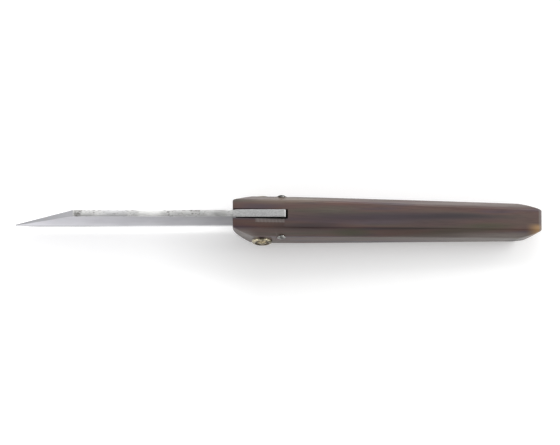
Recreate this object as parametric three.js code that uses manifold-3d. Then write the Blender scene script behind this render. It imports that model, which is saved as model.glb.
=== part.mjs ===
// A friction-folding pocket knife of the two-nail kind, in millimetres, standing open on its belly.
// +X runs from the blade's tip to the handle's butt, +Y to the knife's right side, +Z up to the back.
// The origin lies on the ground, midway between tip and butt. A one-piece horn handle carries two
// cross pins. The blade turns on the front pin, and its tail lands on the rear pin at both limits.
import * as THREE from "three";
import { mergeVertices } from "three/addons/utils/BufferGeometryUtils.js";
import Module from "manifold-3d";

const wasm = await Module();
wasm.setup();

// Blade, measured from the pivot
const TIP_REACH = 95.4;
const CLIP_LENGTH = 22.7;
const BLADE_HEIGHT = 18.0;
const PIVOT_DEPTH = 10.2;
const TIP_DEPTH = 15.9;
const TIP_CURVE_LENGTH = 11.0;
const TANG_THICKNESS = 3.0;
const SPINE_THICKNESS = 2.66;
const EDGE_THICKNESS = 0.12;
const TAIL_ROUND = 0.5;
const RICASSO_LENGTH = 1.6;
const FOLD_ANGLE = 174.5;

// Pins, measured from the pivot
const PIVOT_RADIUS = 1.5;
const STOP_RADIUS = 1.5;
const STOP_BEHIND = 7.5;
const STOP_ABOVE = 4.7;
const TAIL_PAST_STOP = 1.65;
const PIVOT_HEAD_RADIUS = 1.95;
const PIVOT_HEAD_HEIGHT = 0.8;
const STOP_HEAD_RADIUS = 1.8;
const STOP_HEAD_HEIGHT = 0.72;

// Rosettes and washers
const ROSETTE_RADIUS = 3.95;
const ROSETTE_RIM = 0.35;
const ROSETTE_CROWN = 1.0;
const ROSETTE_CROWN_RADIUS = 2.9;
const ROSETTE_DISH = 0.5;
const WASHER_RADIUS = 5.0;
const WASHER_THICKNESS = 0.25;

// Handle
const FRONT_REACH = 11.3;
const FRONT_HEIGHT = 19.8;
const NOSE_START = 5.0;
const NOSE_LENGTH = 9.0;
const BUTT_WALL = 11.3;
const BACK_FALL = 9.0;
const BACK_CROWN = 0.6;
const FRONT_WIDTH = 16.1;
const BUTT_WIDTH = 13.9;
const PARALLEL_REACH = 15.0;
const FRONT_CHAMFER_WIDTH = 2.45;
const BUTT_CHAMFER_WIDTH = 2.75;
const FRONT_CHAMFER_HEIGHT = 3.6;
const BUTT_CHAMFER_HEIGHT = 2.1;
const BELLY_CHAMFER_WIDTH = 2.5;
const FRONT_BELLY_CHAMFER_HEIGHT = 6.6;
const BUTT_BELLY_CHAMFER_HEIGHT = 5.1;
const FRONT_FACE_WIDTH = 11.2;
const FRONT_CORNER_LENGTH = 6.2;
const FRONT_CORNER_BULGE = 0.1;
const FRONT_CORNER_LEAN = 0.1;
const BUTT_FACE_WIDTH = 8.4;
const BUTT_CORNER_LENGTH = 8.0;
const BUTT_CORNER_BULGE = 0.28;
const BUTT_CORNER_LEAN = 0.12;
const END_LAND = 1.0;
const BEVEL_WALL = 1.5;

// Clearances
const PIN_CLEARANCE = 0.05;
const WASHER_CLEARANCE = 0.05;
const STOP_CLEARANCE = 0.05;
const SWEEP_CLEARANCE = 0.2;
const EDGE_CLEARANCE = 0.4;
const TIP_CLEARANCE = 1.0;
const TAIL_GAP = 0.75;
const SEAT_GAP = 0.02;
const HEAD_CLEARANCE = 0.1;

// Facets on round work, and how far a cutter runs past what it cuts
const ROUND_STEPS = 40;
const ARC_STEPS = 8;
const DOME_STEPS = 5;
const PARALLEL_STEPS = 3;
const CUT_MARGIN = 5.0;

// Sizes that follow from the values above
const edgeDrop = BLADE_HEIGHT - PIVOT_DEPTH;
const foldTurn = THREE.MathUtils.degToRad(FOLD_ANGLE);
const foldRest = Math.PI - foldTurn;
const pivot = new THREE.Vector2(0, 0);
const stop = new THREE.Vector2(STOP_BEHIND, STOP_ABOVE);
const foldedStop = stop.clone().rotateAround(pivot, -foldTurn);
const tangRadius = stop.length() - STOP_RADIUS - SWEEP_CLEARANCE;
const notchRadius = STOP_RADIUS + SWEEP_CLEARANCE;
const heelReach = notchRadius - foldedStop.x;
const tailReach = STOP_BEHIND + TAIL_PAST_STOP;
const pinHoleRadius = PIVOT_RADIUS + PIN_CLEARANCE;
const slotHalf = TANG_THICKNESS / 2 + WASHER_THICKNESS + 2 * WASHER_CLEARANCE;
const pivotHeight = FRONT_HEIGHT - PIVOT_DEPTH;
const tip = new THREE.Vector2(-TIP_REACH, PIVOT_DEPTH - TIP_DEPTH);
const foldedTip = tip.clone().rotateAround(pivot, foldTurn);
const slotEnd = foldedTip.x + TIP_CLEARANCE;
const throughEnd = tailReach + TAIL_GAP;
const buttReach = slotEnd + BUTT_WALL;
const handleLength = FRONT_REACH + buttReach;
const sideSeat = FRONT_WIDTH / 2 + SEAT_GAP;

// How far a shallow arc of height 1 has risen, at a share of its length.
function bow(share) {
  return 4 * share * (1 - share);
}

// The height of the handle's back over the belly: a long flat arc that falls to the butt.
function backHeight(along) {
  const share = (along + FRONT_REACH) / handleLength;
  return FRONT_HEIGHT - BACK_FALL * share + BACK_CROWN * bow(share);
}

// Half the handle's width: parallel round the pins, then an even taper to the butt.
function halfWidth(along) {
  const share = Math.max(0, (along - PARALLEL_REACH) / (buttReach - PARALLEL_REACH));
  return THREE.MathUtils.lerp(FRONT_WIDTH, BUTT_WIDTH, share) / 2;
}

// The slot's roof, which the cutting edge of the folded blade follows.
function roofHeight(along) {
  const overEdge = (edgeDrop + EDGE_CLEARANCE) / Math.cos(foldRest);
  return pivotHeight + overEdge - along * Math.tan(foldRest);
}

// Solid modelling: a closed geometry as a solid, and a solid as a geometry again.
function toSolid(geometry) {
  const bare = geometry.clone();
  bare.deleteAttribute("normal");
  bare.deleteAttribute("uv");
  const merged = mergeVertices(bare, 1e-4);
  const corners = merged.index.array;
  const triangles = [];
  for (let i = 0; i < corners.length; i += 3) {
    const [a, b, c] = corners.subarray(i, i + 3);
    if (a !== b && b !== c && c !== a) triangles.push(a, b, c);
  }
  return new wasm.Manifold(
    new wasm.Mesh({
      numProp: 3,
      vertProperties: merged.attributes.position.array,
      triVerts: new Uint32Array(triangles),
    }),
  );
}

function toGeometry(solid) {
  const mesh = solid.getMesh();
  const geometry = new THREE.BufferGeometry();
  geometry.setAttribute("position", new THREE.BufferAttribute(mesh.vertProperties, 3));
  geometry.setIndex(new THREE.BufferAttribute(mesh.triVerts, 1));
  const flat = geometry.toNonIndexed();
  flat.computeVertexNormals();
  return flat;
}

// A side view, given as points along and up, made solid across the knife from one side to the other.
function acrossSolid(points, fromY, toY) {
  const shape = new THREE.Shape(points);
  const geometry = new THREE.ExtrudeGeometry(shape, { depth: toY - fromY, bevelEnabled: false });
  geometry.rotateX(Math.PI / 2);
  geometry.translate(0, toY, 0);
  return toSolid(geometry);
}

// A round cutter across the whole knife, for a pin hole.
function crossHole(along, up, radius) {
  const geometry = new THREE.CylinderGeometry(radius, radius, FRONT_WIDTH + 2 * CUT_MARGIN, ROUND_STEPS);
  geometry.translate(along, 0, up);
  return toSolid(geometry);
}

// A turned piece on a cross axis, from its profile of points outwards and across.
function turned(profile) {
  return new THREE.LatheGeometry(profile, ROUND_STEPS);
}

function pointsOfArc(centre, radius, fromAngle, toAngle, steps) {
  const points = [];
  for (let i = 0; i <= steps; i++) {
    const angle = THREE.MathUtils.lerp(fromAngle, toAngle, i / steps);
    points.push(new THREE.Vector2(Math.cos(angle), Math.sin(angle)).multiplyScalar(radius).add(centre));
  }
  return points;
}

// The points of a line from start to end that bulges to its left by a given height.
function bulgedLine(start, end, bulge, steps) {
  const left = new THREE.Vector2(start.y - end.y, end.x - start.x).normalize();
  const points = [];
  for (let i = 0; i <= steps; i++) {
    const share = i / steps;
    const point = start.clone().lerp(end, share);
    points.push(point.addScaledVector(left, bulge * bow(share)));
  }
  return points;
}

// Handle blank: eight-sided sections along its length, joined into one closed body.
function handleSection(along) {
  const share = (along + FRONT_REACH) / handleLength;
  const side = halfWidth(along);
  const back = backHeight(along);
  const edge = side - THREE.MathUtils.lerp(FRONT_CHAMFER_WIDTH, BUTT_CHAMFER_WIDTH, share);
  const shoulder = back - THREE.MathUtils.lerp(FRONT_CHAMFER_HEIGHT, BUTT_CHAMFER_HEIGHT, share);
  const hip = THREE.MathUtils.lerp(FRONT_BELLY_CHAMFER_HEIGHT, BUTT_BELLY_CHAMFER_HEIGHT, share);
  const right = [
    [side - BELLY_CHAMFER_WIDTH, 0],
    [side, hip],
    [side, shoulder],
    [edge, back],
  ];
  const left = right.map(([y, z]) => [-y, z]).reverse();
  return [...right, ...left].map(([y, z]) => new THREE.Vector3(along, y, z));
}

function handleBlank() {
  const sections = [];
  for (let i = 0; i < PARALLEL_STEPS; i++) {
    const share = i / PARALLEL_STEPS;
    sections.push(handleSection(THREE.MathUtils.lerp(-FRONT_REACH, PARALLEL_REACH, share)));
  }
  for (let i = 0; i <= ARC_STEPS; i++) {
    sections.push(handleSection(THREE.MathUtils.lerp(PARALLEL_REACH, buttReach, i / ARC_STEPS)));
  }
  const corners = sections[0].length;
  const index = [];
  for (let row = 0; row < sections.length - 1; row++) {
    for (let k = 0; k < corners; k++) {
      const a = row * corners + k;
      const b = row * corners + ((k + 1) % corners);
      index.push(a, b, a + corners);
      index.push(b, b + corners, a + corners);
    }
  }
  const last = (sections.length - 1) * corners;
  for (let k = 1; k < corners - 1; k++) {
    index.push(0, k + 1, k);
    index.push(last, last + k, last + k + 1);
  }
  const geometry = new THREE.BufferGeometry().setFromPoints(sections.flat());
  geometry.setIndex(index);
  return toSolid(geometry);
}

// A cutter that takes one corner off the handle's plan, from an end face to the full width.
// The facet it leaves leans inwards below the back.
function cornerCutter({ endAlong, endHalf, inward, length, bulge, lean }) {
  const full = halfWidth(endAlong + inward * length);
  const onEnd = new THREE.Vector2(endAlong, endHalf);
  const onSide = new THREE.Vector2(endAlong + inward * length, full);
  const line = bulgedLine(onEnd, onSide, bulge * inward, ARC_STEPS);
  const past = onSide.clone().sub(line[ARC_STEPS - 1]).setLength(CUT_MARGIN).add(onSide);
  const before = onEnd.clone().sub(line[1]).setLength(CUT_MARGIN).add(onEnd);
  const outer = full + 2 * CUT_MARGIN;
  const corners = [new THREE.Vector2(past.x, outer), new THREE.Vector2(before.x, outer)];
  const points = [before, ...line, past, ...corners];
  const geometry = new THREE.ExtrudeGeometry(new THREE.Shape(points), {
    depth: FRONT_HEIGHT + 2 * CUT_MARGIN,
    bevelEnabled: false,
  });
  geometry.translate(0, 0, -CUT_MARGIN);
  const atBack = backHeight(endAlong);
  geometry.translate(0, 0, -atBack);
  geometry.applyMatrix4(new THREE.Matrix4().makeShear(0, 0, 0, 0, 0, lean));
  geometry.translate(0, 0, atBack);
  return toSolid(geometry);
}

// A cutter that rounds the front away below, from the front face down to the belly.
function noseCutter(outside, wide) {
  const start = FRONT_HEIGHT - NOSE_START;
  const points = [new THREE.Vector2(outside, -CUT_MARGIN), new THREE.Vector2(outside, start)];
  for (let i = 0; i <= ARC_STEPS; i++) {
    const up = THREE.MathUtils.lerp(start, -CUT_MARGIN, i / ARC_STEPS);
    const fall = 1 - up / start;
    points.push(new THREE.Vector2(NOSE_LENGTH * fall * fall - FRONT_REACH, up));
  }
  return acrossSolid(points, -wide, wide);
}

function handleGeometry() {
  const top = FRONT_HEIGHT + CUT_MARGIN;
  const frontFace = -FRONT_REACH - CUT_MARGIN;
  const frontCorner = cornerCutter({
    endAlong: -FRONT_REACH,
    endHalf: FRONT_FACE_WIDTH / 2,
    inward: 1,
    length: FRONT_CORNER_LENGTH,
    bulge: FRONT_CORNER_BULGE,
    lean: FRONT_CORNER_LEAN,
  });
  const buttCorner = cornerCutter({
    endAlong: buttReach,
    endHalf: BUTT_FACE_WIDTH / 2,
    inward: -1,
    length: BUTT_CORNER_LENGTH,
    bulge: BUTT_CORNER_BULGE,
    lean: BUTT_CORNER_LEAN,
  });
  let body = handleBlank();
  for (const cutter of [frontCorner, buttCorner]) {
    body = body.subtract(cutter).subtract(cutter.mirror([0, 1, 0]));
  }
  const bevelStart = slotEnd + BEVEL_WALL;
  const bevelTop = backHeight(buttReach) - END_LAND;
  const bevelSlope = bevelTop / (buttReach - bevelStart);
  const wide = FRONT_WIDTH / 2 + CUT_MARGIN;
  const buttBevel = acrossSolid(
    [
      new THREE.Vector2(bevelStart - CUT_MARGIN, -CUT_MARGIN * bevelSlope),
      new THREE.Vector2(buttReach + CUT_MARGIN, -CUT_MARGIN * bevelSlope),
      new THREE.Vector2(buttReach + CUT_MARGIN, bevelTop + CUT_MARGIN * bevelSlope),
    ],
    -wide,
    wide,
  );
  const slot = acrossSolid(
    [
      new THREE.Vector2(frontFace, -CUT_MARGIN),
      new THREE.Vector2(slotEnd, -CUT_MARGIN),
      new THREE.Vector2(slotEnd, roofHeight(slotEnd)),
      new THREE.Vector2(throughEnd, roofHeight(throughEnd)),
      new THREE.Vector2(throughEnd, top),
      new THREE.Vector2(frontFace, top),
    ],
    -slotHalf,
    slotHalf,
  );
  body = body.subtract(noseCutter(frontFace, wide)).subtract(buttBevel).subtract(slot);
  body = body.subtract(crossHole(0, pivotHeight, pinHoleRadius));
  body = body.subtract(crossHole(STOP_BEHIND, pivotHeight + STOP_ABOVE, STOP_RADIUS + PIN_CLEARANCE));
  return toGeometry(body);
}

// Blade outline, from the pivot. Its rear is the path that leaves the stop pin free while it turns.
function bladeOutline() {
  const clipStart = new THREE.Vector2(CLIP_LENGTH - TIP_REACH, PIVOT_DEPTH);
  const tailUnder = STOP_ABOVE + STOP_RADIUS + STOP_CLEARANCE;
  const tailTop = new THREE.Vector2(tailReach - TAIL_ROUND, PIVOT_DEPTH - TAIL_ROUND);
  const tailFoot = new THREE.Vector2(tailReach - TAIL_ROUND, tailUnder + TAIL_ROUND);
  const tangFrom = Math.asin(tailUnder / tangRadius);
  const tangTo = Math.atan2(STOP_ABOVE, STOP_BEHIND) - foldTurn;
  const heel = new THREE.Vector2(-heelReach, -edgeDrop);
  const curveStart = new THREE.Vector2(TIP_CURVE_LENGTH - TIP_REACH, -edgeDrop);
  const outline = new THREE.Path();
  outline.moveTo(heel.x, heel.y);
  outline.lineTo(curveStart.x, curveStart.y);
  outline.quadraticCurveTo(tip.x + TIP_CURVE_LENGTH / 2, -edgeDrop, tip.x, tip.y);
  outline.lineTo(clipStart.x, clipStart.y);
  const tipSide = outline.getPoints(ARC_STEPS);
  return [
    ...tipSide,
    ...pointsOfArc(tailTop, TAIL_ROUND, Math.PI / 2, 0, ARC_STEPS / 2),
    ...pointsOfArc(tailFoot, TAIL_ROUND, 0, -Math.PI / 2, ARC_STEPS / 2),
    ...pointsOfArc(pivot, tangRadius, tangFrom, tangTo, ROUND_STEPS / 2),
    ...pointsOfArc(foldedStop, notchRadius, tangTo + Math.PI, Math.PI, ARC_STEPS).slice(1),
  ];
}

// A cutter for one ground face, from the spine down to the edge, ending in a sloped plunge.
function grindCutter() {
  const outside = TANG_THICKNESS;
  const slope = (SPINE_THICKNESS - EDGE_THICKNESS) / 2 / BLADE_HEIGHT;
  const topY = SPINE_THICKNESS / 2 + slope * CUT_MARGIN;
  const footY = EDGE_THICKNESS / 2 - slope * CUT_MARGIN;
  const plunge = heelReach + RICASSO_LENGTH;
  const sections = [-TIP_REACH - CUT_MARGIN, -plunge].map((along, k) => [
    new THREE.Vector3(along, footY, -edgeDrop - CUT_MARGIN),
    new THREE.Vector3(along, topY, PIVOT_DEPTH + CUT_MARGIN),
    new THREE.Vector3(along + k * RICASSO_LENGTH, outside, PIVOT_DEPTH + CUT_MARGIN),
    new THREE.Vector3(along + k * RICASSO_LENGTH, outside, -edgeDrop - CUT_MARGIN),
  ]);
  const geometry = new THREE.BufferGeometry().setFromPoints(sections.flat());
  geometry.setIndex([
    0, 1, 2, 0, 2, 3,
    4, 6, 5, 4, 7, 6,
    0, 4, 1, 1, 4, 5,
    1, 5, 2, 2, 5, 6,
    2, 6, 3, 3, 6, 7,
    3, 7, 0, 0, 7, 4,
  ]);
  return toSolid(geometry);
}

function bladeGeometry() {
  const half = TANG_THICKNESS / 2;
  const cutter = grindCutter();
  const body = acrossSolid(bladeOutline(), -half, half)
    .subtract(cutter)
    .subtract(cutter.mirror([0, 1, 0]))
    .subtract(crossHole(0, 0, pinHoleRadius));
  return toGeometry(body);
}

// A cross pin with a peened dome at each end, seated at a given distance from the middle.
function pinGeometry(radius, seat, headRadius, headHeight) {
  const dome = [];
  for (let i = 0; i < DOME_STEPS; i++) {
    const angle = (i / DOME_STEPS) * (Math.PI / 2);
    dome.push([headRadius * Math.cos(angle), seat + headHeight * Math.sin(angle)]);
  }
  dome.push([0, seat + headHeight]);
  const upper = [[radius, seat], ...dome];
  const lower = upper.map(([r, y]) => [r, -y]).reverse();
  return turned([...lower, ...upper].map(([r, y]) => new THREE.Vector2(r, y)));
}

// A dished brass rosette: a rim on the handle, a raised ring, and a hollow for the rivet head.
function rosetteGeometry() {
  const hollow = PIVOT_HEAD_RADIUS + HEAD_CLEARANCE;
  const profile = [new THREE.Vector2(pinHoleRadius, 0)];
  profile.push(new THREE.Vector2(ROSETTE_RADIUS, 0));
  profile.push(new THREE.Vector2(ROSETTE_RADIUS, ROSETTE_RIM));
  for (let i = 1; i <= DOME_STEPS; i++) {
    const angle = (i / DOME_STEPS) * (Math.PI / 2);
    const out = THREE.MathUtils.lerp(ROSETTE_CROWN_RADIUS, ROSETTE_RADIUS, Math.cos(angle));
    const rise = THREE.MathUtils.lerp(ROSETTE_RIM, ROSETTE_CROWN, Math.sin(angle));
    profile.push(new THREE.Vector2(out, rise));
  }
  for (let i = 1; i <= DOME_STEPS; i++) {
    const angle = (i / DOME_STEPS) * (Math.PI / 2);
    const out = THREE.MathUtils.lerp(hollow, ROSETTE_CROWN_RADIUS, Math.cos(angle));
    const rise = THREE.MathUtils.lerp(ROSETTE_CROWN, ROSETTE_DISH, 1 - Math.cos(angle));
    profile.push(new THREE.Vector2(out, rise));
  }
  profile.push(new THREE.Vector2(pinHoleRadius, ROSETTE_DISH));
  profile.push(new THREE.Vector2(pinHoleRadius, 0));
  return turned(profile);
}

function washerGeometry() {
  return turned(
    [
      [pinHoleRadius, 0],
      [WASHER_RADIUS, 0],
      [WASHER_RADIUS, WASHER_THICKNESS],
      [pinHoleRadius, WASHER_THICKNESS],
      [pinHoleRadius, 0],
    ].map(([r, y]) => new THREE.Vector2(r, y)),
  );
}

// Materials
const horn = new THREE.MeshStandardMaterial({ color: 0x5a4d47, roughness: 0.45, metalness: 0 });
const steel = new THREE.MeshStandardMaterial({ color: 0xb9b9c0, roughness: 0.35, metalness: 1 });
const pinSteel = new THREE.MeshStandardMaterial({ color: 0xa8a9a6, roughness: 0.3, metalness: 1 });
const brass = new THREE.MeshStandardMaterial({ color: 0xb59a58, roughness: 0.25, metalness: 1 });
const bronze = new THREE.MeshStandardMaterial({ color: 0x9a7445, roughness: 0.4, metalness: 1 });

function piece(name, geometry, material) {
  const mesh = new THREE.Mesh(geometry, material);
  mesh.name = name;
  return mesh;
}

// The knife: the handle stands on the ground, and a group on the pivot axis carries the rest.
const knife = new THREE.Group();
knife.position.x = (TIP_REACH - buttReach) / 2;
knife.add(piece("handle", handleGeometry(), horn));

const atPivot = new THREE.Group();
atPivot.position.z = pivotHeight;
knife.add(atPivot);
atPivot.add(piece("blade", bladeGeometry(), steel));

const pivotSeat = sideSeat + ROSETTE_DISH + SEAT_GAP;
const pivotPin = pinGeometry(PIVOT_RADIUS, pivotSeat, PIVOT_HEAD_RADIUS, PIVOT_HEAD_HEIGHT);
atPivot.add(piece("pivot_pin", pivotPin, brass));

const stopPin = pinGeometry(STOP_RADIUS, sideSeat, STOP_HEAD_RADIUS, STOP_HEAD_HEIGHT);
const stopMesh = piece("stop_pin", stopPin, pinSteel);
stopMesh.position.set(STOP_BEHIND, 0, STOP_ABOVE);
atPivot.add(stopMesh);

for (const [side, facing] of [["left", -1], ["right", 1]]) {
  const rosette = piece(`rosette_${side}`, rosetteGeometry(), brass);
  rosette.position.y = facing * sideSeat;
  rosette.rotation.x = facing < 0 ? Math.PI : 0;
  atPivot.add(rosette);
  const washer = piece(`washer_${side}`, washerGeometry(), bronze);
  washer.position.y = facing * (TANG_THICKNESS / 2 + WASHER_CLEARANCE);
  washer.rotation.x = facing < 0 ? Math.PI : 0;
  atPivot.add(washer);
}

export default knife;
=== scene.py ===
# A friction-folding pocket knife, open and standing on its belly, in metres around the packed
# frame. The sections follow the knife as it is put together: handle, blade, washers, pins and
# rosettes. The floor, the lamps and the camera close the file.
from math import cos, pi, radians, sin

import bmesh
import bpy
from mathutils import Matrix, Vector, noise


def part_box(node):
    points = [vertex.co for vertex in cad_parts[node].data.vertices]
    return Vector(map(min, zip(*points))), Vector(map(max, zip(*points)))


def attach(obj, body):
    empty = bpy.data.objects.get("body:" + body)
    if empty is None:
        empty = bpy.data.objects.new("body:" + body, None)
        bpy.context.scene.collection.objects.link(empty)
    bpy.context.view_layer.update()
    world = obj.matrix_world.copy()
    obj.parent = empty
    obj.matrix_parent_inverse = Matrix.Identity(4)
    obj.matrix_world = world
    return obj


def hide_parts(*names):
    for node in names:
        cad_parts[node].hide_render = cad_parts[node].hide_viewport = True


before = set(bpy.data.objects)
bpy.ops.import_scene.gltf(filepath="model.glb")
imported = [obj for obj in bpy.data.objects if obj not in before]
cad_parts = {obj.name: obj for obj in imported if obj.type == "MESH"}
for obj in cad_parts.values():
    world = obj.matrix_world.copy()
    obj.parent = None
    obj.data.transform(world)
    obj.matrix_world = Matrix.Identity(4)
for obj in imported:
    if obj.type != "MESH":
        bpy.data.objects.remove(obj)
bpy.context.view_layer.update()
MM = 0.001


# Handle. One piece of dark horn, sawn from below for the blade and filed to flat sides, then
# rubbed smooth, which rounds its edges. The sawn slot stays rough inside, and a pale rippled
# patch lies beside it. Two holes cross the handle for the pins. Sheen on some facets, a dark line
# along the back's near edge and a highlight along the butt's end edge are painted into its colour.
HANDLE_EDGE = 0.5 * MM
SLOT_EDGE = 0.18 * MM
EDGE_STEPS = 3
# The turn from which an edge is rounded, and the one from which it is shaded sharp. Then the
# least turns that count: between two faces, at a seam in a flat, and at a point of an edge.
SHARP_TURN = radians(14)
SMOOTH_TURN = radians(28)
COPLANAR = radians(0.03)
SEAM_TURN = radians(2.5)
STRAIGHT = radians(0.05)
WELD = 0.002 * MM
SHORT_EDGE = 0.4 * MM
# How near a hole's axis short edges stay as they are, edges stay sharp, and a side edge is split.
HOLE_KEEP = 2.6 * MM
HOLE_REACH = 2.3 * MM
HOLE_CUT = 2.2 * MM
# The upper front corners, whose long edges are made straight, and the corners of the butt.
NOSE_LENGTH = 2.9 * MM
NOSE_DEPTH = 1.8 * MM
BUTT_REACH = 1.2 * MM
# The flats are cut into strips of this length, which keeps their shading even.
STRIP = 4 * MM
WASHER_CLEARANCE = 0.05 * MM

# The ground colours by the level of the clouds: olive, brown, red-brown and violet.
HORN_TONES = ((0.36, "453a30"), (0.46, "4c3a33"), (0.56, "4e3731"), (0.66, "423137"))
HORN_DARK = "2e2425"
HORN_AMBER = "ac8856"
HORN_PALE = "77716e"
HORN_IOR = 1.54
OUTSIDE_ROUGHNESS = 0.33
SLOT_ROUGHNESS = 0.62
ROUGHNESS_SPREAD = 0.05
NOISE_LOW = 0.3
NOISE_HIGH = 0.7
CLOUD_SIZE = (42 * MM, 3.4 * MM, 3.4 * MM)
CLOUD_DETAIL = 0.7
FIBRE_SIZE = (45 * MM, 0.5 * MM, 0.5 * MM)
FIBRE_DETAIL = 1.5
FIBRE_SHARES = ((0.36, 0.22), (0.5, 0.0))
BEND_SIZE = (48 * MM, 9 * MM, 9 * MM)
BEND_DETAIL = 1.0
BEND_DEPTH = 1.6 * MM
GRAIN_SLOPE = 0.022
BACK_SLOPE = 0.0756
# A streak is full in this share of its size, and fades out from there.
STREAK_CORE = 0.1
# The streaks, with painted sheen and shade among them, marked where they stand: a colour and its
# share, then in mm a middle and half a size, both along, across and up. They lie along the back,
# which is 18.8 up by this measure.
HORN_STREAKS_AND_PAINTED_LIGHT = (
    ("6a5b4d", 0.85, (6, 5.6, 18.8), (24, 2.6, 9)),
    ("5c3a31", 0.55, (27, 4.4, 18.8), (17, 1.7, 6)),
    ("4a473b", 0.60, (22, 1.8, 18.8), (14, 1.9, 6)),
    ("2e2029", 0.95, (42, -1.5, 18.8), (66, 3.2, 6)),
    ("1c1118", 0.80, (66, -1.2, 18.8), (28, 1.6, 6)),
    ("443640", 0.65, (38, -3.6, 18.8), (24, 1.6, 6)),
    ("5b3a36", 0.45, (62, 2.2, 18.8), (17, 2.4, 6)),
    ("472824", 0.65, (76, 2.6, 18.8), (22, 2.8, 6)),
    ("402a2d", 0.65, (60, -4.3, 18.8), (24, 2.1, 6)),
    ("36331f", 0.75, (82, -4.9, 18.8), (14, 1.9, 6)),
    ("2a1b1d", 0.90, (12, -5.0, 18.8), (22, 2.4, 6)),
    # Painted shade: a dark line along the back's near edge, for the dark reflection there.
    ("231d1d", 0.80, (48, -6.0, 18.0), (32, 0.9, 5)),
    ("37351f", 0.90, (28, -7.2, 17.3), (12, 2.4, 4)),
    # Painted sheen on the far half of the back and the far chamfer.
    ("837976", 0.60, (78, 4.4, 17.0), (46, 1.9, 9)),
    # Painted reflection: the near side is lightened towards the butt, for the floor that it
    # mirrors.
    ("68615d", 0.90, (88, -9.2, 12.0), (66, 2.6, 16)),
    # Painted highlight on the lit near corner at the front.
    ("7d7570", 0.90, (-14, -8.2, 14.0), (7, 3.2, 16)),
    ("3a3a44", 0.70, (30, -8.5, 10.0), (34, 1.5, 1.6)),
    ("52332e", 0.60, (52, -8.6, 7.0), (30, 1.5, 1.8)),
    ("35332a", 0.70, (20, 8.0, 9.0), (30, 1.5, 1.7)),
    # Painted sheen: the near chamfer is lightened towards the butt.
    ("756e69", 0.90, (86, -7.9, 15.5), (30, 1.9, 5)),
    ("6d7168", 0.60, (98, 6.4, 16.0), (9, 3, 8)),
    ("45362f", 0.90, (103, -8.3, 14.0), (10, 5, 12)),
    # A small dark spot low on the near side, near the butt.
    ("211e1c", 0.95, (92.5, -9.2, 13.0), (6, 2.0, 2.6)),
)
# What the file and the cloth left: low waves, scratches and a back that is a little crowned.
WAVE_SIZE = (16 * MM, 6 * MM, 6 * MM)
WAVE_DEPTH = 0.10 * MM
SCRATCH_SIZE = (9 * MM, 0.22 * MM, 0.22 * MM)
SCRATCH_DEPTH = 0.006 * MM
BACK_HALF = 5.6 * MM
BACK_CROWN = 0.28 * MM
# Clear amber horn at the butt and a narrow painted highlight along its end edge, and a pale
# rippled patch beside the slot, whose two values are along and across.
AMBER_LENGTH = 6.5 * MM
AMBER_PLACE = -4.25 * MM
AMBER_HALF = 1.125 * MM
AMBER_EDGE = 2 * MM
AMBER_SHARE = 0.68
BUTT_HIGHLIGHT_LENGTH = 1.3 * MM
BUTT_HIGHLIGHT_SHARE = 0.6
RIPPLE_PATCH_PLACE = (-3.1 * MM, -2.6 * MM)
RIPPLE_PATCH_HALF = (5.2 * MM, 0.65 * MM)
RIPPLE_PATCH_EDGE = (0.8 * MM, 0.3 * MM)
RIPPLE_PATCH_STEP = 1.4 * MM
RIPPLE_PATCH_DEPTH = 0.04 * MM
RIPPLE_PATCH_SHARE = 0.5


def linear(code):
    """An sRGB hex colour as linear red, green, blue and alpha."""
    parts = [int(code[i : i + 2], 16) / 255 for i in (0, 2, 4)]
    flat = [c / 12.92 if c <= 0.04045 else ((c + 0.055) / 1.055) ** 2.4 for c in parts]
    return (*flat, 1.0)


def grey(value):
    """An even grey as linear red, green, blue and alpha."""
    return (value, value, value, 1.0)


def tones(pairs):
    """A colour ramp's stops from pairs of a position and a hex colour."""
    return [(position, linear(code)) for position, code in pairs]


def shares(pairs):
    """A colour ramp's stops from pairs of a position and a share."""
    return [(position, grey(share)) for position, share in pairs]


def new_material(name):
    """An empty material with its node tree and its shader."""
    material = bpy.data.materials.new(name)
    material.use_nodes = True
    return material, material.node_tree, material.node_tree.nodes["Principled BSDF"]


def feed(tree, node, sockets):
    """Gives each socket of a node a value, or the output that it is linked to."""
    for socket, value in sockets.items():
        if isinstance(value, bpy.types.NodeSocket):
            tree.links.new(value, node.inputs[socket])
        else:
            node.inputs[socket].default_value = value


def add(tree, kind, sockets=None, stops=(), **settings):
    """Adds a node with its settings, its sockets and its ramp's stops, and returns its outputs."""
    made = tree.nodes.new(kind)
    for name, value in settings.items():
        setattr(made, name, value)
    feed(tree, made, sockets or {})
    for index, (position, colour) in enumerate(stops):
        band = made.color_ramp.elements
        if index == len(band):
            band.new(position)
        band[index].position = position
        band[index].color = colour
    return made.outputs


def at_size(tree, size, shift=0.0):
    """The piece's own coordinates, counted in a real size along, across and up."""
    place = add(tree, "ShaderNodeTexCoord")["Object"]
    scale = [1 / s for s in size]
    return add(
        tree,
        "ShaderNodeMapping",
        {"Vector": place, "Scale": scale, "Location": (shift, shift, shift)},
    )["Vector"]


def place_of(tree):
    """The piece's own coordinates along, across and up."""
    place = add(tree, "ShaderNodeTexCoord")["Object"]
    return list(add(tree, "ShaderNodeSeparateXYZ", {"Vector": place}))


def near(tree, value, middle, half, edge):
    """1 within a half width of a middle, and 0 outside it, past a soft edge."""
    away = add(tree, "ShaderNodeMath", {0: value, 1: middle}, operation="SUBTRACT")[0]
    away = add(tree, "ShaderNodeMath", {0: away}, operation="ABSOLUTE")[0]
    return add(
        tree,
        "ShaderNodeMapRange",
        {"Value": away, "From Min": half + edge, "From Max": half},
        interpolation_type="SMOOTHSTEP",
    )["Result"]


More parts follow.
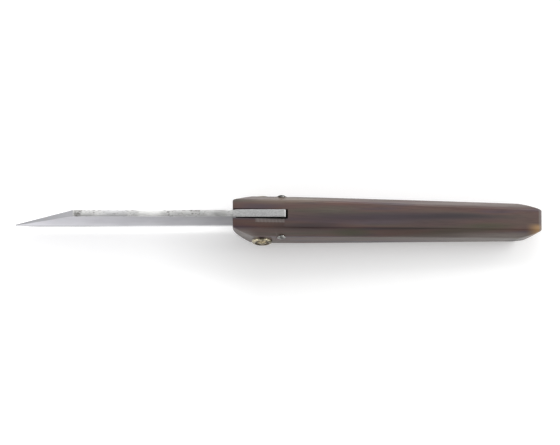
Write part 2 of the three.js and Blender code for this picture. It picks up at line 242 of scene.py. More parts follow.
def horn(name, roughness):
    """Dark horn: satin keratin whose coloured fibres run along the handle, clearer at the butt."""
    material, tree, shader = new_material(name)
    along, across, up = place_of(tree)
    clouds = add(
        tree,
        "ShaderNodeTexNoise",
        {"Vector": at_size(tree, CLOUD_SIZE), "Scale": 1.0, "Detail": CLOUD_DETAIL},
    )
    tint = add(
        tree, "ShaderNodeValToRGB", {"Fac": clouds["Fac"]}, stops=tones(HORN_TONES)
    )["Color"]
    bend = add(
        tree,
        "ShaderNodeTexNoise",
        {"Vector": at_size(tree, BEND_SIZE), "Scale": 1.0, "Detail": BEND_DETAIL},
    )["Fac"]
    bend = add(
        tree,
        "ShaderNodeMath",
        {0: bend, 1: BEND_DEPTH, 2: -BEND_DEPTH / 2},
        operation="MULTIPLY_ADD",
    )[0]
    lean = add(
        tree, "ShaderNodeMath", {0: along, 1: -GRAIN_SLOPE, 2: bend}, operation="MULTIPLY_ADD"
    )[0]
    bent = add(tree, "ShaderNodeMath", {0: across, 1: lean})[0]
    level = add(
        tree, "ShaderNodeMath", {0: along, 1: BACK_SLOPE, 2: up}, operation="MULTIPLY_ADD"
    )[0]
    grain = add(tree, "ShaderNodeCombineXYZ", {"X": along, "Y": bent, "Z": level})["Vector"]
    # Some of these are painted sheen and shade, marked in the table.
    for colour, share, middle, half in HORN_STREAKS_AND_PAINTED_LIGHT:
        scale = [1 / (h * MM) for h in half]
        shift = [-m / h for m, h in zip(middle, half)]
        out = add(
            tree,
            "ShaderNodeMapping",
            {"Vector": grain, "Scale": scale, "Location": shift},
        )["Vector"]
        out = add(tree, "ShaderNodeVectorMath", {0: out}, operation="LENGTH")["Value"]
        within = add(
            tree,
            "ShaderNodeMapRange",
            {"Value": out, "From Min": 1.0, "From Max": STREAK_CORE, "To Max": share},
            interpolation_type="SMOOTHSTEP",
        )["Result"]
        tint = add(
            tree,
            "ShaderNodeMix",
            {"Factor": within, "A": tint, "B": linear(colour)},
            data_type="RGBA",
        )["Result"]
    fibres = add(
        tree,
        "ShaderNodeTexNoise",
        {"Vector": at_size(tree, FIBRE_SIZE), "Scale": 1.0, "Detail": FIBRE_DETAIL},
    )
    share = add(
        tree, "ShaderNodeValToRGB", {"Fac": fibres["Fac"]}, stops=shares(FIBRE_SHARES)
    )["Color"]
    tint = add(
        tree,
        "ShaderNodeMix",
        {"Factor": share, "A": tint, "B": linear(HORN_DARK)},
        data_type="RGBA",
    )["Result"]

    butt = add(
        tree,
        "ShaderNodeMapRange",
        {
            "Value": along,
            "From Min": handle_high.x - AMBER_LENGTH,
            "From Max": handle_high.x,
            "To Max": AMBER_SHARE,
        },
        interpolation_type="SMOOTHSTEP",
    )["Result"]
    side = near(tree, across, AMBER_PLACE, AMBER_HALF, AMBER_EDGE)
    clear = add(tree, "ShaderNodeMath", {0: butt, 1: side}, operation="MULTIPLY")[0]
    # A pale rippled patch beside the slot.
    length = near(tree, along, RIPPLE_PATCH_PLACE[0], RIPPLE_PATCH_HALF[0], RIPPLE_PATCH_EDGE[0])
    width = near(tree, across, RIPPLE_PATCH_PLACE[1], RIPPLE_PATCH_HALF[1], RIPPLE_PATCH_EDGE[1])
    ripple_patch = add(tree, "ShaderNodeMath", {0: length, 1: width}, operation="MULTIPLY")[0]
    pale_patch_share = add(tree, "ShaderNodeMath", {0: ripple_patch, 1: RIPPLE_PATCH_SHARE}, operation="MULTIPLY")[0]
    # Painted highlight along the butt's end edge.
    butt_highlight = add(
        tree,
        "ShaderNodeMapRange",
        {
            "Value": along,
            "From Min": handle_high.x - BUTT_HIGHLIGHT_LENGTH,
            "From Max": handle_high.x - BUTT_HIGHLIGHT_LENGTH / 2,
            "To Max": BUTT_HIGHLIGHT_SHARE,
        },
    )["Result"]
    for share, colour in ((clear, HORN_AMBER), (pale_patch_share, HORN_PALE), (butt_highlight, HORN_PALE)):
        tint = add(
            tree,
            "ShaderNodeMix",
            {"Factor": share, "A": tint, "B": linear(colour)},
            data_type="RGBA",
        )["Result"]

    gloss = add(
        tree,
        "ShaderNodeMapRange",
        {
            "Value": fibres["Fac"],
            "From Min": NOISE_LOW,
            "From Max": NOISE_HIGH,
            "To Min": roughness + ROUGHNESS_SPREAD,
            "To Max": roughness - ROUGHNESS_SPREAD,
        },
    )["Result"]
    out = add(tree, "ShaderNodeMath", {0: across, 1: BACK_HALF}, operation="DIVIDE")[0]
    crown = add(tree, "ShaderNodeMath", {0: out, 1: out}, operation="MULTIPLY")[0]
    crown = add(tree, "ShaderNodeMath", {0: 1.0, 1: crown}, operation="SUBTRACT")[0]
    turns = add(
        tree, "ShaderNodeMath", {0: along, 1: 2 * pi / RIPPLE_PATCH_STEP}, operation="MULTIPLY"
    )[0]
    ripple = add(tree, "ShaderNodeMath", {0: turns}, operation="SINE")[0]
    ripple = add(tree, "ShaderNodeMath", {0: ripple, 1: ripple_patch}, operation="MULTIPLY")[0]
    waves = add(tree, "ShaderNodeTexNoise", {"Vector": at_size(tree, WAVE_SIZE), "Scale": 1.0})
    scratches = add(
        tree, "ShaderNodeTexNoise", {"Vector": at_size(tree, SCRATCH_SIZE), "Scale": 1.0}
    )
    normal = add(tree, "ShaderNodeNewGeometry")["Normal"]
    for height, depth in (
        (crown, BACK_CROWN),
        (waves["Fac"], WAVE_DEPTH),
        (ripple, RIPPLE_PATCH_DEPTH),
        (scratches["Fac"], SCRATCH_DEPTH),
    ):
        normal = add(
            tree, "ShaderNodeBump", {"Height": height, "Distance": depth, "Normal": normal}
        )["Normal"]
    feed(
        tree,
        shader,
        {"Base Color": tint, "Roughness": gloss, "IOR": HORN_IOR, "Normal": normal},
    )
    return material


def merged_copy(node):
    """The frame's solid as a bmesh of whole flat faces."""
    bm = bmesh.new()
    bm.from_mesh(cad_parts[node].data)
    bmesh.ops.remove_doubles(bm, verts=bm.verts, dist=WELD)
    bmesh.ops.dissolve_limit(bm, angle_limit=COPLANAR, verts=bm.verts, edges=bm.edges)
    return bm


def sharp_edges(bm, accept):
    """The edges that turn sharply and that accept() takes, by their two ends."""
    return [
        edge
        for edge in bm.edges
        if edge.is_manifold
        and edge.calc_face_angle() > SHARP_TURN
        and accept(edge.verts[0].co, edge.verts[1].co)
    ]


def round_edges(bm, edges, width):
    """Rounds the edges over a width on both sides of each."""
    bmesh.ops.bevel(
        bm,
        geom=edges,
        offset=width,
        offset_type="OFFSET",
        segments=EDGE_STEPS,
        profile=0.5,
        affect="EDGES",
        material=-1,
        clamp_overlap=False,
    )


def cut_across(bm, point, normal):
    """Cuts the faces along a plane and keeps both sides."""
    geometry = bm.verts[:] + bm.edges[:] + bm.faces[:]
    bmesh.ops.bisect_plane(bm, geom=geometry, plane_co=point, plane_no=normal)


def finish_piece(bm, name, materials, body, replaced, weighted=False):
    """Makes a smooth-shaded object that rides on its body, and hides the node that it replaces."""
    bmesh.ops.remove_doubles(bm, verts=bm.verts, dist=WELD)
    for face in bm.faces:
        face.smooth = True
    mesh = bpy.data.meshes.new(name)
    bm.to_mesh(mesh)
    bm.free()
    mesh.set_sharp_from_angle(angle=SMOOTH_TURN)
    for material in materials:
        mesh.materials.append(material)
    piece = bpy.data.objects.new(name, mesh)
    bpy.context.scene.collection.objects.link(piece)
    if weighted:
        modifier = piece.modifiers.new("even_shading", "WEIGHTED_NORMAL")
        modifier.keep_sharp = True
    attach(piece, body)
    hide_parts(replaced)


handle_low, handle_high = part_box("handle")
pivot_low, pivot_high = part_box("pivot_pin")
stop_low, stop_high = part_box("stop_pin")
pivot = (pivot_low + pivot_high) / 2
stop = (stop_low + stop_high) / 2
slot_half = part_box("washer_right")[1].y + WASHER_CLEARANCE


def by_slot(point):
    """Whether a point lies on the slot's walls or between them."""
    return abs(point.y) < slot_half + WELD


def by_hole(point):
    """Whether a point lies near the axis of a cross hole."""
    return any(
        Vector((point.x - hole.x, point.z - hole.z)).length < HOLE_KEEP for hole in (pivot, stop)
    )


def passes_hole(first, second):
    """Whether an edge runs so close to a hole that rounding it would break into the hole."""
    for centre in (pivot, stop):
        start, end, hole = (Vector((point.x, point.z)) for point in (first, second, centre))
        way = end - start
        share = (hole - start).dot(way) / max(way.length_squared, WELD * WELD)
        if (start + way * min(max(share, 0), 1) - hole).length < HOLE_REACH:
            return True
    return False


def is_outer(first, second):
    """Whether an edge between two points is on the handle's outside, and clear of the holes."""
    return not (by_slot(first) and by_slot(second)) and not passes_hole(first, second)


def is_slot_rim(first, second):
    """Whether an edge between two points is on the slot's rim, and clear of the holes."""
    return by_slot(first) and by_slot(second) and not passes_hole(first, second)


def on_hole_cut(edge):
    """Whether an edge lies in the plane straight across the handle at a hole."""
    return any(
        all(abs(vert.co.x - hole.x) < WELD for vert in edge.verts) for hole in (pivot, stop)
    )


def clear_flats(bm):
    """Makes each filed flat one face, cut only straight across at the two holes.

    Points that crowd a corner are taken out too, so that the rounding has room there.
    """
    for hole in (pivot, stop):
        cut_across(bm, (hole.x, 0, 0), (1, 0, 0))
    seams = [
        edge
        for edge in bm.edges
        if edge.calc_face_angle() < SEAM_TURN and not on_hole_cut(edge)
    ]
    bmesh.ops.dissolve_edges(bm, edges=seams, use_verts=False)
    slivers = [
        edge
        for edge in bm.edges
        if edge.calc_length() < SHORT_EDGE
        and not any(by_hole(vert.co) or by_slot(vert.co) for vert in edge.verts)
    ]
    bmesh.ops.collapse(bm, edges=slivers, uvs=False)
    between = [vert for vert in bm.verts if len(vert.link_edges) == 2]
    straight = [vert for vert in between if vert.calc_edge_angle() < STRAIGHT]
    nose = [
        vert
        for vert in between
        if WELD < vert.co.x - handle_low.x < NOSE_LENGTH
        and vert.co.z > handle_high.z - NOSE_DEPTH
    ]
    bmesh.ops.dissolve_verts(bm, verts=list({*straight, *nose}))
    corners = [vert for vert in bm.verts if handle_high.x - vert.co.x < WELD]
    merged = {}
    for vert in bm.verts:
        corner = min(corners, key=lambda end: (end.co - vert.co).length)
        if vert not in corners and (corner.co - vert.co).length < BUTT_REACH:
            merged[vert] = corner
    bmesh.ops.weld_verts(bm, targetmap=merged)


def end_before_hole(bm):
    """Splits the two upper side edges a little before and behind the stop pin's hole."""
    for side in (-1, 1):
        place = stop.x + side * HOLE_CUT
        crossing = sharp_edges(
            bm,
            lambda a, b: (a.x - place) * (b.x - place) < 0
            and min(abs(a.y), abs(b.y)) > handle_high.y - SHORT_EDGE
            and min(a.z, b.z) > stop.z,
        )
        for edge in crossing:
            start, end = edge.verts
            bmesh.utils.edge_split(edge, start, (place - start.co.x) / (end.co.x - start.co.x))


handle = merged_copy("handle")
clear_flats(handle)
end_before_hole(handle)
round_edges(handle, sharp_edges(handle, is_outer), HANDLE_EDGE)
round_edges(handle, sharp_edges(handle, is_slot_rim), SLOT_EDGE)
strip = handle_low.x + STRIP
while strip < handle_high.x:
    cut_across(handle, (strip, 0, 0), (1, 0, 0))
    strip += STRIP
for face in handle.faces:
    if by_slot(face.calc_center_median()):
        face.material_index = 1
finish_piece(
    handle,
    "horn_handle",
    [horn("rubbed_dark_horn", OUTSIDE_ROUGHNESS), horn("sawn_dark_horn", SLOT_ROUGHNESS)],
    "handle_body",
    "handle",
    weighted=True,
)


# Blade. Carbon steel, forged and then ground flat on both sides and on its clip. The hammered
# scale is left on its spine, whose edges are rubbed a little round. The tang behind it is filed
# square, and the pivot pin goes through it.
BLADE_EDGE_ROUND = 0.15 * MM
# Cuts every so far along the blade, and across it at shares of half its thickness, give the
# spine points to move. Its relief fades out over a depth down the sides.
STATION = 0.55 * MM
LANES = (-0.75, -0.5, -0.25, 0.0, 0.25, 0.5, 0.75)
SPINE_DEPTH = 0.4 * MM
# The relief: a crowned middle, hammered lumps, a slow roll from side to side, and pits. The
# filed tang keeps a small share of it.
CROWN = 0.13 * MM
LUMP_SIZE = 2.6 * MM
LUMP_DEPTH = 0.08 * MM
ROLL_SIZE = 13 * MM
ROLL_PLACE = (0.5, 2.5)
ROLL_TILT = 0.11
PIT_SIZE = 0.75 * MM
PIT_DEPTH = 0.10 * MM
PIT_LEVEL = 0.15
TANG_SHARE = 0.1
# How far a face leans upwards to count as an upper one.
UPWARD = 0.35

# Colours along the blade, by the share of its length from the tip to the handle.
# The face darkens towards the handle: painted shade, for the handle's shadow that it reflects.
FACE_SHADE_TONES = ((0.1, "c5c4cb"), (0.5, "a09fa6"), (1.0, "7b7a7f"))
# The honed edge brightens towards the handle: a painted reflection of the lit floor.
HONED_REFLECTION_TONES = ((0.3, "949497"), (0.9, "ebebec"))
CLIP_TONES = ((0.0, "a8a8ab"), (0.3, "bababe"))
SCALE_TONES = ((0.7, "d4d4d3"), (0.95, "bdbdbc"))
HONED_HEIGHT = 2.8 * MM
STEEL_ROUGHNESS = 0.34
FILM_ROUGHNESS = 0.42
# The grinding lines are as fine as real ones, so they show by how they stretch reflections.
GRIND_STRETCH = 0.75
GRIND_SIZE = (0.12 * MM, 7 * MM, 7 * MM)
GRIND_DEPTH = 0.004 * MM
HAZE_SIZE = (9 * MM, 5 * MM, 5 * MM)

# Marks and wider patches make the pits. Four places on the spine are set darker or lighter; the
# last of them is a painted highlight, where a lamp shines in the spine.
MARK_SIZE = (1.3 * MM, 0.6 * MM, 0.6 * MM)
MARK_DETAIL = 4.0
MARK_LOW = 0.35
MARK_HIGH = 0.6
MARK_DEPTH = 0.05 * MM
PATCH_SIZE = (8 * MM, 3 * MM, 3 * MM)
PATCH_SHIFT = 2.0
PATCH_SHARE = 0.4
PIT_SHARES = ((0.36, 1.0), (0.46, 0.0))
SCALE_PIT = "7b7978"
PIT_ROUGHNESS = 0.6
SCALE_ROUGHNESS = 0.38
SPECKLE_LOW = 0.4
SPECKLE_HIGH = 0.6
SPECKLE_SHARE = 0.3
SCALE_LEFT = "858381"
LEFT_PLACE = -77.2 * MM
LEFT_HALF = 0.8 * MM
SCALE_DULL = "bcbcbe"
DULL_PLACE = -63 * MM
DULL_HALF = 3.2 * MM
DULL_SHARE = 0.6
SCALE_HEEL = "8f8f8d"
HEEL_PLACE = -22.3 * MM
HEEL_HALF = 1.6 * MM
HEEL_SHARE = 0.35
# Painted highlight: a near-white patch where a lamp shines in the spine.
SPINE_HIGHLIGHT = "f0f0ee"
SPINE_HIGHLIGHT_PLACE = -49.5 * MM
SPINE_HIGHLIGHT_HALF = 3.0 * MM
SPINE_HIGHLIGHT_SHARE = 0.8
TANG_TONES = ((0.35, "a0a0a0"), (0.6, "b4b4b4"))
TANG_BLEND = 1 * MM
STROKE_SIZE = (0.5 * MM, 0.5 * MM, 0.5 * MM)
STROKE_DETAIL = 3.0


def ground_steel(name, face_tones, honed_tones):
    """Ground carbon steel: bright metal whose cross grinding smears what it reflects lengthwise.

    Painted shade darkens it towards the handle, where a painted reflection lights its honed edge.
    """
    material, tree, shader = new_material(name)
    along, _, up = place_of(tree)
    share = add(
        tree,
        "ShaderNodeMapRange",
        {"Value": along, "From Min": blade_low.x, "From Max": handle_low.x},
    )["Result"]
    # Painted shade along the face, and a painted reflection on the honed edge.
    film = add(tree, "ShaderNodeValToRGB", {"Fac": share}, stops=tones(face_tones))["Color"]
    edge = add(tree, "ShaderNodeValToRGB", {"Fac": share}, stops=tones(honed_tones))["Color"]
    honed = add(
        tree,
        "ShaderNodeMapRange",
        {
            "Value": up,
            "From Min": blade_low.z + HONED_HEIGHT,
            "From Max": blade_low.z + HONED_HEIGHT / 2,
        },
        interpolation_type="SMOOTHSTEP",
    )["Result"]
    tone = add(
        tree,
        "ShaderNodeMix",
        {"Factor": honed, "A": film, "B": edge},
        data_type="RGBA",
    )["Result"]
    haze = add(tree, "ShaderNodeTexNoise", {"Vector": at_size(tree, HAZE_SIZE), "Scale": 1.0})
    gloss = add(
        tree,
        "ShaderNodeMapRange",
        {
            "Value": haze["Fac"],
            "From Min": NOISE_LOW,
            "From Max": NOISE_HIGH,
            "To Min": FILM_ROUGHNESS,
            "To Max": STEEL_ROUGHNESS,
        },
    )["Result"]
    lines = add(tree, "ShaderNodeTexNoise", {"Vector": at_size(tree, GRIND_SIZE), "Scale": 1.0})
    lengthwise = add(
        tree,
        "ShaderNodeVectorTransform",
        {"Vector": (1, 0, 0)},
        vector_type="VECTOR",
        convert_from="OBJECT",
        convert_to="WORLD",
    )["Vector"]
    feed(
        tree,
        shader,
        {
            "Base Color": tone,
            "Metallic": 1.0,
            "Roughness": gloss,
            "Anisotropic": GRIND_STRETCH,
            "Tangent": lengthwise,
            "Normal": add(
                tree, "ShaderNodeBump", {"Height": lines["Fac"], "Distance": GRIND_DEPTH}
            )["Normal"],
        },
    )
    return material


def forged_steel():
    """Forged scale rubbed bright: metal with dull grey pits less than a millimetre wide."""
    material, tree, shader = new_material("forged_carbon_steel")
    along = place_of(tree)[0]
    marks = add(
        tree,
        "ShaderNodeTexNoise",
        {"Vector": at_size(tree, MARK_SIZE), "Scale": 1.0, "Detail": MARK_DETAIL},
    )
    patches = add(
        tree,
        "ShaderNodeTexNoise",
        {"Vector": at_size(tree, PATCH_SIZE, PATCH_SHIFT), "Scale": 1.0},
    )
    depth = add(
        tree,
        "ShaderNodeMix",
        {"Factor": PATCH_SHARE, "A": marks["Fac"], "B": patches["Fac"]},
    )["Result"]
    share = add(
        tree,
        "ShaderNodeMapRange",
        {"Value": along, "From Min": blade_low.x, "From Max": handle_low.x},
    )["Result"]
    rubbed = add(tree, "ShaderNodeValToRGB", {"Fac": share}, stops=tones(SCALE_TONES))["Color"]
    pitted = add(tree, "ShaderNodeValToRGB", {"Fac": depth}, stops=shares(PIT_SHARES))["Color"]
    scale = add(
        tree,
        "ShaderNodeMix",
        {"Factor": pitted, "A": rubbed, "B": linear(SCALE_PIT)},
        data_type="RGBA",
    )["Result"]
    speckle = add(
        tree,
        "ShaderNodeMapRange",
        {
            "Value": marks["Fac"],
            "From Min": SPECKLE_LOW,
            "From Max": SPECKLE_HIGH,
            "To Min": 1.0,
            "To Max": SPECKLE_SHARE,
        },
    )["Result"]
    for colour, middle, half, kept in (
        (SCALE_LEFT, LEFT_PLACE, LEFT_HALF, speckle),
        (SCALE_DULL, DULL_PLACE, DULL_HALF, DULL_SHARE),
        (SCALE_HEEL, HEEL_PLACE, HEEL_HALF, HEEL_SHARE),
        # Painted highlight where a lamp shines in the spine.
        (SPINE_HIGHLIGHT, SPINE_HIGHLIGHT_PLACE, SPINE_HIGHLIGHT_HALF, SPINE_HIGHLIGHT_SHARE),
    ):
        place = near(tree, along, middle, half, half)
        place = add(tree, "ShaderNodeMath", {0: place, 1: kept}, operation="MULTIPLY")[0]
        scale = add(
            tree,
            "ShaderNodeMix",
            {"Factor": place, "A": scale, "B": linear(colour)},
            data_type="RGBA",
        )["Result"]
    strokes = add(
        tree,
        "ShaderNodeTexNoise",
        {"Vector": at_size(tree, STROKE_SIZE), "Scale": 1.0, "Detail": STROKE_DETAIL},
    )
    filed = add(
        tree, "ShaderNodeValToRGB", {"Fac": strokes["Fac"]}, stops=tones(TANG_TONES)
    )["Color"]
    tang = add(
        tree,
        "ShaderNodeMapRange",
        {
            "Value": along,
            "From Min": handle_low.x - TANG_BLEND,
            "From Max": handle_low.x + TANG_BLEND,
        },
    )["Result"]
    tone = add(
        tree, "ShaderNodeMix", {"Factor": tang, "A": scale, "B": filed}, data_type="RGBA"
    )["Result"]
    gloss = add(
        tree,
        "ShaderNodeMapRange",
        {
            "Value": marks["Fac"],
            "From Min": MARK_LOW,
            "From Max": MARK_HIGH,
            "To Min": PIT_ROUGHNESS,
            "To Max": SCALE_ROUGHNESS,
        },
    )["Result"]
    feed(
        tree,
        shader,
        {
            "Base Color": tone,
            "Metallic": 1.0,
            "Roughness": gloss,
            "Normal": add(
                tree, "ShaderNodeBump", {"Height": marks["Fac"], "Distance": MARK_DEPTH}
            )["Normal"],
        },
    )
    return material


blade_low, blade_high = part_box("blade")
blade = merged_copy("blade")


def is_lengthwise(first, second):
    """Whether an edge between two points runs along the blade for more than two stations."""
    return abs(first.y - second.y) < WELD and abs(first.x - second.x) > 2 * STATION


tops = [
    edge
    for edge in sharp_edges(blade, lambda a, b: is_lengthwise(a, b) or a.x < handle_low.x)
    if max(face.normal.z for face in edge.link_faces) > UPWARD
]
round_edges(blade, tops, BLADE_EDGE_ROUND)
spine_foot = blade_high.z - BLADE_EDGE_ROUND
for face in blade.faces:
    middle = face.calc_center_median()
    if middle.z > spine_foot:
        face.material_index = 1
    elif face.normal.z > UPWARD:
        face.material_index = 2 if middle.x < handle_low.x else 1
station = blade_low.x + STATION
while station < handle_low.x + STATION:
    cut_across(blade, (station, 0, 0), (1, 0, 0))
    station += STATION
for lane in LANES:
    cut_across(blade, (0, lane * blade_high.y, 0), (0, 1, 0))
cut_across(blade, (0, 0, blade_high.z - SPINE_DEPTH), (0, 0, 1))
for vert in blade.verts:
    if not any(face.material_index == 1 for face in vert.link_faces):
        continue
    forged = 1.0 if vert.co.x < handle_low.x else TANG_SHARE
    forged *= max(1.0 - (blade_high.z - vert.co.z) / SPINE_DEPTH, 0.0)
    lump = noise.noise(vert.co / LUMP_SIZE) * LUMP_DEPTH
    pit = min(0.0, noise.noise(vert.co / PIT_SIZE) + PIT_LEVEL) * PIT_DEPTH
    roll = noise.noise((vert.co.x / ROLL_SIZE, *ROLL_PLACE)) * ROLL_TILT * vert.co.y
    drop = CROWN * (vert.co.y / blade_high.y) ** 2
    vert.co.z += forged * (lump + pit + roll - drop)
finish_piece(
    blade,
    "forged_blade",
    [
        ground_steel("ground_carbon_steel", FACE_SHADE_TONES, HONED_REFLECTION_TONES),
        forged_steel(),
        ground_steel("ground_clip_steel", CLIP_TONES, CLIP_TONES),
    ],
    "blade_body",
    "blade",
    weighted=True,
)


# Washers. Thin bronze rings between the tang and the horn, cut from rolled sheet and bored for the
# pivot pin.
TURN_STEPS = 72
WASHER_CORNER = 0.05 * MM
PIN_RADIUS = 1.5 * MM
PIN_CLEARANCE = 0.05 * MM
# A metal's finish: its bright and its dull colour, the roughness of each, and the film's grain.
BRONZE_FINISH = ("a87f4e", "6f5333", 0.34, 0.5, 1.5 * MM)
FILM_LOW = 0.42
FILM_HIGH = 0.56
FILM_DETAIL = 4.0
DENT_DEPTH = 0.04 * MM
pin_bore = PIN_RADIUS + PIN_CLEARANCE


def turned(profile):
    """A closed turned bmesh round the Z axis from points of radius and height."""
    bm = bmesh.new()
    verts = [bm.verts.new((radius, 0, height)) for radius, height in profile]
    edges = [bm.edges.new(pair) for pair in zip(verts, verts[1:])]
    bmesh.ops.spin(
        bm,
        geom=verts + edges,
        cent=(0, 0, 0),
        axis=(0, 0, 1),
        angle=2 * pi,
        steps=TURN_STEPS,
        use_merge=True,
        dvec=(0, 0, 0),
    )
    bmesh.ops.remove_doubles(bm, verts=bm.verts, dist=WELD)
    bmesh.ops.recalc_face_normals(bm, faces=bm.faces)
    return bm


def set_across(bm, place, facing=1):
    """Turns a piece made round Z onto a cross axis at a place, its outer face to one side."""
    turn = Matrix.Rotation(radians(-90 * facing), 4, "X")
    bmesh.ops.transform(bm, matrix=Matrix.Translation(place) @ turn, verts=bm.verts)


def worked_metal(name, light, dull, rough, dull_rough, grain):
    """Worked metal: bright where it is rubbed, with a thin dull film left in patches."""
    material, tree, shader = new_material(name)
    film = add(
        tree,
        "ShaderNodeTexNoise",
        {"Vector": at_size(tree, (grain, grain, grain)), "Scale": 1.0, "Detail": FILM_DETAIL},
    )
    tone = add(
        tree,
        "ShaderNodeValToRGB",
        {"Fac": film["Fac"]},
        stops=tones(((FILM_LOW, dull), (FILM_HIGH, light))),
    )["Color"]
    gloss = add(
        tree,
        "ShaderNodeMapRange",
        {
            "Value": film["Fac"],
            "From Min": FILM_LOW,
            "From Max": FILM_HIGH,
            "To Min": dull_rough,
            "To Max": rough,
        },
    )["Result"]
    dents = add(tree, "ShaderNodeBump", {"Height": film["Fac"], "Distance": DENT_DEPTH})
    feed(
        tree,
        shader,
        {"Base Color": tone, "Metallic": 1.0, "Roughness": gloss, "Normal": dents["Normal"]},
    )
    return material


bronze = worked_metal("rolled_bronze_sheet", *BRONZE_FINISH)
for side, facing in (("left", -1), ("right", 1)):
    low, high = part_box(f"washer_{side}")
    thick = high.y - low.y
    radius = (high.x - low.x) / 2
    washer = turned(
        [
            (pin_bore, 0),
            (radius - WASHER_CORNER, 0),
            (radius, WASHER_CORNER),
            (radius, thick - WASHER_CORNER),
            (radius - WASHER_CORNER, thick),
            (pin_bore, thick),
            (pin_bore, 0),
        ]
    )
    inner_face = min(abs(low.y), abs(high.y)) * facing
    set_across(washer, Vector((pivot.x, inner_face, pivot.z)), facing)
    finish_piece(
        washer, f"bronze_washer_{side}", [bronze], "handle_body", f"washer_{side}"
    )


# Pins. A brass rivet at the pivot and a steel one behind it, each peened to a dome at both ends.
# The hammer leaves small flats on the domes.
PIVOT_HEAD = 0.8 * MM
STOP_HEAD = 0.72 * MM
DOME_STEPS = 9
HAMMER_SIZE = 0.9 * MM
HAMMER_DEPTH = 0.05 * MM
BRASS_FINISH = ("b0a282", "554c3d", 0.14, 0.36, 0.9 * MM)
PIN_FINISH = ("979795", "4a4846", 0.14, 0.35, 1.3 * MM)


def rivet(low, high, head_height):
    """A rivet across the knife that fills its node's box, with a domed head at each end."""
    head = (high.z - low.z) / 2
    seat = high.y - head_height
    dome = [
        (head * cos(pi / 2 * i / DOME_STEPS), seat + head_height * sin(pi / 2 * i / DOME_STEPS))
        for i in range(DOME_STEPS + 1)
    ]
    upper = [(PIN_RADIUS, seat), *dome]
    lower = [(radius, -height) for radius, height in reversed(upper)]
    bm = turned([*lower, *upper])
    for vert in bm.verts:
        if abs(vert.co.z) > seat + WELD:
            flat = noise.noise(vert.co / HAMMER_SIZE) * HAMMER_DEPTH
            vert.co -= vert.co.normalized() * abs(flat)
    set_across(bm, (low + high) / 2)
    return bm


finish_piece(
    rivet(pivot_low, pivot_high, PIVOT_HEAD),
    "pivot_rivet",
    [worked_metal("peened_brass", *BRASS_FINISH)],
    "handle_body",
    "pivot_pin",
)
finish_piece(
    rivet(stop_low, stop_high, STOP_HEAD),
    "stop_rivet",
    [worked_metal("peened_pin_steel", *PIN_FINISH)],
    "handle_body",
    "stop_pin",
)


# Rosettes. Dished brass washers pressed from sheet, one under each end of the pivot rivet. They
# spread its pull over the horn. Their raised ring is rubbed bright and their hollow is tarnished.
ROSETTE_RIM = 0.35 * MM
# A row of points on the outer wall, just below the rim, keeps the wall's shading even.
ROSETTE_WALL = 0.245 * MM
ROSETTE_RING = 2.9 * MM
ROSETTE_DISH = 0.5 * MM
ROSETTE_HOLLOW = 2.05 * MM
ROSETTE_STEPS = 10
RING_FINISH = ("bab199", "625a47", 0.08, 0.2, 1.6 * MM)
HOLLOW_FINISH = ("5b5240", "2e2820", 0.25, 0.45, 0.9 * MM)

rubbed_brass = worked_metal("rubbed_brass_ring", *RING_FINISH)
tarnished_brass = worked_metal("tarnished_brass_hollow", *HOLLOW_FINISH)
for side, facing in (("left", -1), ("right", 1)):
    low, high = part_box(f"rosette_{side}")
    radius = (high.x - low.x) / 2
    crown = high.y - low.y
    profile = [(pin_bore, 0), (radius, 0), (radius, ROSETTE_WALL)]
    for i in range(ROSETTE_STEPS + 1):
        turn = pi / 2 * i / ROSETTE_STEPS
        out = ROSETTE_RING + (radius - ROSETTE_RING) * cos(turn)
        profile.append((out, ROSETTE_RIM + (crown - ROSETTE_RIM) * sin(turn)))
    for i in range(1, ROSETTE_STEPS + 1):
        turn = pi / 2 * i / ROSETTE_STEPS
        out = ROSETTE_HOLLOW + (ROSETTE_RING - ROSETTE_HOLLOW) * cos(turn)
        profile.append((out, crown - (crown - ROSETTE_DISH) * (1 - cos(turn))))
    profile += [(pin_bore, ROSETTE_DISH), (pin_bore, 0)]
    rosette = turned(profile)
    for face in rosette.faces:
        face.material_index = 1 if face.calc_center_median().xy.length < ROSETTE_RING else 0
    seat = min(abs(low.y), abs(high.y)) * facing
    set_across(rosette, Vector((pivot.x, seat, pivot.z)), facing)
    finish_piece(
        rosette,
        f"brass_rosette_{side}",
        [rubbed_brass, tarnished_brass],
        "handle_body",
        f"rosette_{side}",
    )


# Studio. A white floor keeps the knife's soft shadow. Soft lamps stand to the right, low and high
# behind, to the left and in front, in an even pale surround. What shines sees it brighter low
# down than overhead, with a dark place where the camera stands and one low in front.
FLOOR_HALF = 4.0
FLOOR_WHITE = "f2f2f2"
FLOOR_ROUGHNESS = 0.9
# How much the floor shines where it is seen, and the stretch over which that grows towards the
# tip, from behind the handle's front to ahead of it.
FLOOR_LIFT = 0.2
TIP_LIFT = 0.22
LIFT_BEHIND = 14 * MM
LIFT_AHEAD = 36 * MM
# The surround's strength, and the ones that shiny pieces see: up to a low height of the
# direction, and straight overhead.
SURROUND = 0.6
LOW_DOWN = 0.2
HORIZON = 1.0
OVERHEAD = 0.8
VIEW_TILT = radians(73)
view_from = Vector((0, -cos(VIEW_TILT), sin(VIEW_TILT)))
# A dark place's direction, the cosines at which it starts and is full, and its share.
DARK_PLACES = (
    (view_from, 0.82, 0.97, 0.85),
    (Vector((0, -1, 0.05)), 0.9, 0.98, 0.75),
)
# A lamp's name, its place, its width and height, and its power in watts.
LAMPS = (
    ("right_softbox", (1.0, 0.3, 0.5), (0.8, 0.6), 6.8),
    ("left_softbox", (-0.85, -0.5, 0.5), (0.25, 0.25), 1.0),
    ("back_softbox", (0.1, 1.0, 0.3), (1.6, 0.5), 1.0),
    ("high_back_softbox", (0.05, 0.74, 0.7), (1.0, 0.4), 3.1),
    ("front_softbox", (0.85, -0.6, 0.5), (0.25, 0.25), 0.9),
)

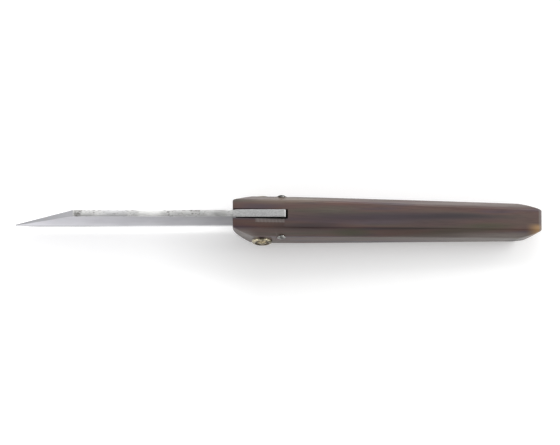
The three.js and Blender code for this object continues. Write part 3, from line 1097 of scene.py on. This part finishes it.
floor_mesh = bmesh.new()
bmesh.ops.create_grid(floor_mesh, x_segments=1, y_segments=1, size=FLOOR_HALF)
floor_data = bpy.data.meshes.new("floor")
floor_mesh.to_mesh(floor_data)
floor_mesh.free()
floor = bpy.data.objects.new("floor", floor_data)
bpy.context.scene.collection.objects.link(floor)


def seen_rays(tree):
    """1 for rays from the camera and for mirror and glass rays, 0 for the rest."""
    path = add(tree, "ShaderNodeLightPath")
    seen = add(
        tree,
        "ShaderNodeMath",
        {0: path["Is Camera Ray"], 1: path["Is Glossy Ray"]},
        operation="MAXIMUM",
    )[0]
    return add(
        tree, "ShaderNodeMath", {0: seen, 1: path["Is Transmission Ray"]}, operation="MAXIMUM"
    )[0]


# White paper: dead matt, and lifted to white where it is seen, more towards the tip.
paper, tree, shader = new_material("white_paper")
tip_side = add(
    tree,
    "ShaderNodeMapRange",
    {
        "Value": place_of(tree)[0],
        "From Min": handle_low.x + LIFT_BEHIND,
        "From Max": handle_low.x - LIFT_AHEAD,
        "To Min": FLOOR_LIFT,
        "To Max": FLOOR_LIFT + TIP_LIFT,
    },
    interpolation_type="SMOOTHSTEP",
)["Result"]
feed(
    tree,
    shader,
    {
        "Base Color": linear(FLOOR_WHITE),
        "Roughness": FLOOR_ROUGHNESS,
        "Specular IOR Level": 0.0,
        "Emission Color": grey(1.0),
        "Emission Strength": add(
            tree, "ShaderNodeMath", {0: seen_rays(tree), 1: tip_side}, operation="MULTIPLY"
        )[0],
    },
)
floor_data.materials.append(paper)

world = bpy.data.worlds.new("studio")
bpy.context.scene.world = world
world.use_nodes = True
tree = world.node_tree
towards = add(tree, "ShaderNodeTexCoord")["Generated"]
sky = add(
    tree,
    "ShaderNodeMapRange",
    {
        "Value": add(tree, "ShaderNodeSeparateXYZ", {"Vector": towards})["Z"],
        "From Min": LOW_DOWN,
        "To Min": HORIZON,
        "To Max": OVERHEAD,
    },
)["Result"]
for middle, start, full, shade in DARK_PLACES:
    facing = add(
        tree, "ShaderNodeVectorMath", {0: towards, 1: middle}, operation="DOT_PRODUCT"
    )["Value"]
    open_share = add(
        tree,
        "ShaderNodeMapRange",
        {
            "Value": facing,
            "From Min": start,
            "From Max": full,
            "To Min": 1.0,
            "To Max": 1.0 - shade,
        },
        interpolation_type="SMOOTHSTEP",
    )["Result"]
    sky = add(tree, "ShaderNodeMath", {0: sky, 1: open_share}, operation="MULTIPLY")[0]
camera_ray = add(tree, "ShaderNodeLightPath")["Is Camera Ray"]
sky = add(tree, "ShaderNodeMath", {0: sky, 1: camera_ray}, operation="MAXIMUM")[0]
strength = add(
    tree, "ShaderNodeMapRange", {"Value": seen_rays(tree), "To Min": SURROUND, "To Max": sky}
)["Result"]
feed(tree, tree.nodes["Background"], {"Color": grey(1.0), "Strength": strength})


def soft_lamp(name, place, size, power):
    """A rectangular soft lamp that faces the knife's middle."""
    data = bpy.data.lights.new(name, "AREA")
    data.shape = "RECTANGLE"
    data.size, data.size_y = size
    data.energy = power
    lamp = bpy.data.objects.new(name, data)
    lamp.location = place
    lamp.rotation_euler = (-Vector(place)).to_track_quat("-Z", "Y").to_euler()
    bpy.context.scene.collection.objects.link(lamp)


for lamp in LAMPS:
    soft_lamp(*lamp)


# Camera. A long lens high above the knife's left side, aimed a little to the left of the middle
# of the knife's back. It takes in the whole knife with white all round.
VIEW_WIDTH = 215.4 * MM
VIEW_AIM = Vector((0.72, -3.49, 18.73)) * MM
VIEW_DISTANCE = 3.6
VIEW_REACH = 20.0

camera_data = bpy.data.cameras.new("camera")
camera_data.lens = camera_data.sensor_width * VIEW_DISTANCE / VIEW_WIDTH
camera_data.clip_end = VIEW_REACH
camera = bpy.data.objects.new("camera", camera_data)
camera.location = VIEW_AIM + view_from * VIEW_DISTANCE
camera.rotation_euler = (-view_from).to_track_quat("-Z", "Y").to_euler()
bpy.context.scene.collection.objects.link(camera)
bpy.context.scene.camera = camera
bpy.context.scene.view_settings.view_transform = "Standard"
